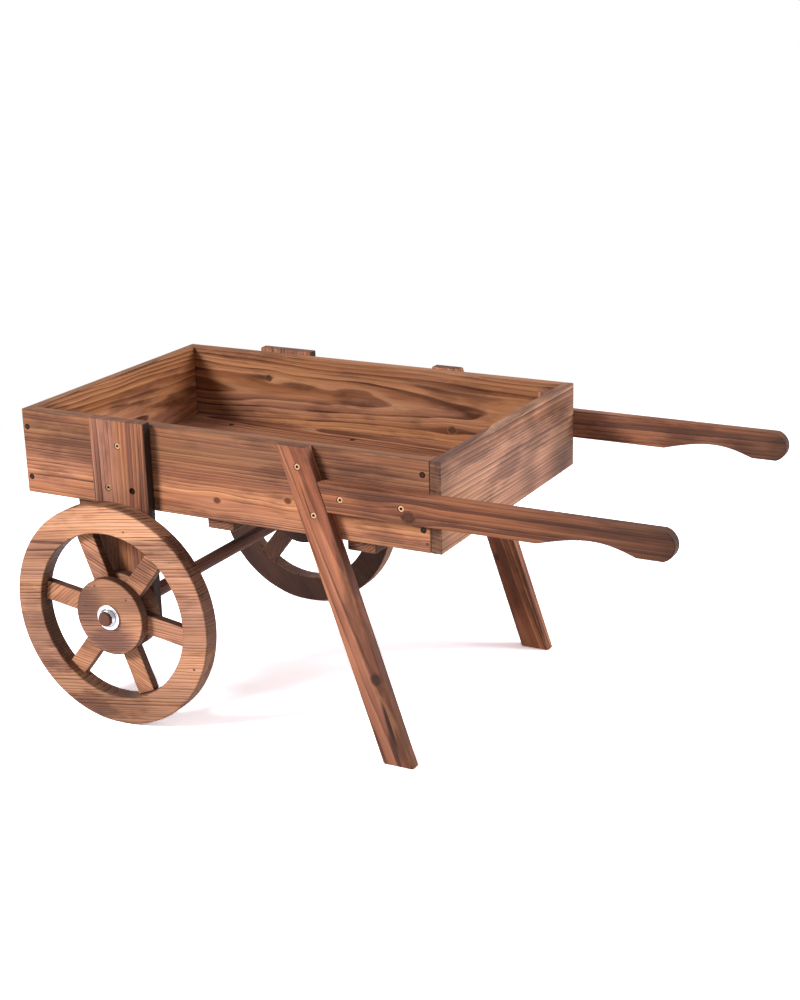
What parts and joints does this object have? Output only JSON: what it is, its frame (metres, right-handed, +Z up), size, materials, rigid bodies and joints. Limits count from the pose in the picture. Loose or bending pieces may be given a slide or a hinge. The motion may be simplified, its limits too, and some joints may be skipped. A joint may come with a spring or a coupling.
{
  "type": "flower cart stand",
  "caption": "Wooden flower cart stand: a shallow plank bed carried by spoked wheels on a dowel axle, raked legs and shaped push handles.",
  "frame": {"origin": "on the ground, under the middle of the whole cart", "axes": "+X from the wheels towards the handles, +Y across the cart to its right side, +Z up"},
  "size_m": [0.9154, 0.54, 0.403],
  "materials": {
    "bed_pine": "torched and brushed pine, light brown stain, satin",
    "frame_pine": "torched and brushed pine, reddish brown stain, satin",
    "post_pine": "torched and brushed pine, dark stain, satin",
    "wheel_pine": "edge-glued pine staves, torched and brushed, light brown stain",
    "inner_pine": "stained pine, sawn and brushed, matt",
    "axle_dowel": "hardwood dowel, dark brown stain",
    "zinc_fittings": "bright zinc plate",
    "screws": "zinc plate, some stained brown with the boards"
  },
  "bodies": {
    "cart": {"left_side_board": "bed_pine", "right_side_board": "bed_pine", "wheel_end_board": "bed_pine", "handle_end_board": "frame_pine", "left_leg": "frame_pine", "right_leg": "frame_pine", "left_handle": "frame_pine", "right_handle": "frame_pine", "left_wheel_post": "post_pine", "right_wheel_post": "post_pine", "left_corner_block": "inner_pine", "right_corner_block": "inner_pine", "floor_slat_1": "inner_pine", "floor_slat_2": "inner_pine", "floor_slat_3": "inner_pine", "floor_slat_4": "inner_pine", "floor_slat_5": "inner_pine", "floor_batten_1": "inner_pine", "floor_batten_2": "inner_pine", "floor_batten_3": "inner_pine", "axle": "axle_dowel", "left_inner_washer": "zinc_fittings", "left_outer_washer": "zinc_fittings", "left_push_on_ring": "zinc_fittings", "left_post_screw_1": "screws", "left_post_screw_2": "screws", "left_post_screw_3": "screws", "left_leg_screw_1": "screws", "left_leg_screw_2": "screws", "left_handle_screw_1": "screws", "left_handle_screw_2": "screws", "right_inner_washer": "zinc_fittings", "right_outer_washer": "zinc_fittings", "right_push_on_ring": "zinc_fittings", "right_post_screw_1": "screws", "right_post_screw_2": "screws", "right_post_screw_3": "screws", "right_leg_screw_1": "screws", "right_leg_screw_2": "screws", "right_handle_screw_1": "screws", "right_handle_screw_2": "screws"},
    "left_wheel": {"left_wheel_rim": "wheel_pine", "left_wheel_back_disc": "wheel_pine", "left_wheel_front_disc": "wheel_pine", "left_wheel_spoke_1": "wheel_pine", "left_wheel_spoke_2": "wheel_pine", "left_wheel_spoke_3": "wheel_pine", "left_wheel_spoke_4": "wheel_pine", "left_wheel_spoke_5": "wheel_pine", "left_wheel_spoke_6": "wheel_pine"},
    "right_wheel": {"right_wheel_rim": "wheel_pine", "right_wheel_back_disc": "wheel_pine", "right_wheel_front_disc": "wheel_pine", "right_wheel_spoke_1": "wheel_pine", "right_wheel_spoke_2": "wheel_pine", "right_wheel_spoke_3": "wheel_pine", "right_wheel_spoke_4": "wheel_pine", "right_wheel_spoke_5": "wheel_pine", "right_wheel_spoke_6": "wheel_pine"}
  },
  "joints": [
    {"name": "left_wheel_spin", "type": "hinge", "parent": "cart", "child": "left_wheel", "pos_m": [-0.29375, -0.2384, 0.15], "axis": [0, 1, 0], "continuous": true},
    {"name": "right_wheel_spin", "type": "hinge", "parent": "cart", "child": "right_wheel", "pos_m": [-0.29375, 0.2384, 0.15], "axis": [0, 1, 0], "continuous": true}
  ]
}
